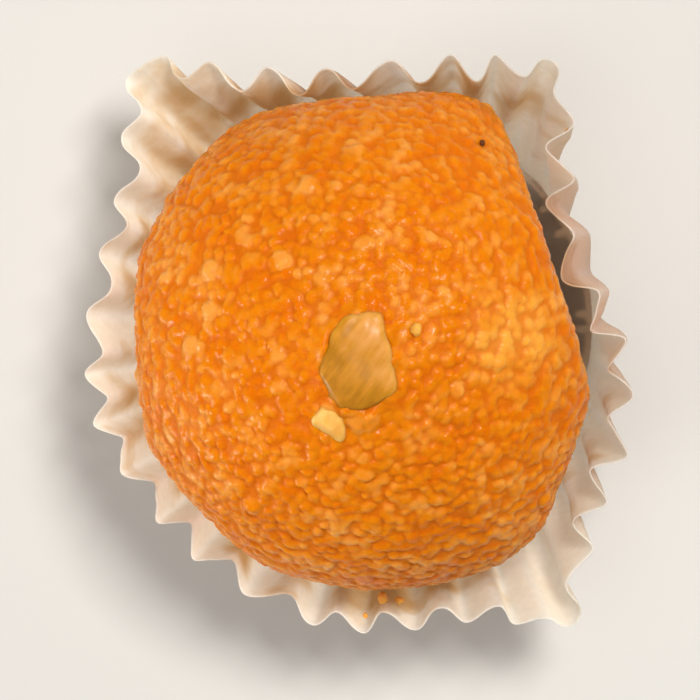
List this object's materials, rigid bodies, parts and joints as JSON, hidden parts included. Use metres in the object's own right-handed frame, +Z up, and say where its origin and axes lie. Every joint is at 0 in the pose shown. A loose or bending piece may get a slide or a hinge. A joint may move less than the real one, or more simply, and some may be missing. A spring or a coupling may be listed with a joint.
{
  "type": "boondi ladoo in a paper case",
  "caption": "Round hand-rolled sweet of tiny syrupy boondi grains with a piece of nut in its top, sitting in a fluted paper case.",
  "frame": {"origin": "on the surface that the case stands on, below the centre of the whole's bounding box", "axes": "+Z up, out of the paper case's mouth; +Y is the top of the picture that looks down on the sweet, and +X its right"},
  "size_m": [0.0482, 0.0504, 0.0406],
  "materials": {
    "boondi": "satin",
    "nut": "satin",
    "greaseproof_paper": "matte"
  },
  "bodies": {
    "root": {"ladoo": "boondi", "nut_piece": "nut", "paper_case": "greaseproof_paper"}
  },
  "joints": []
}
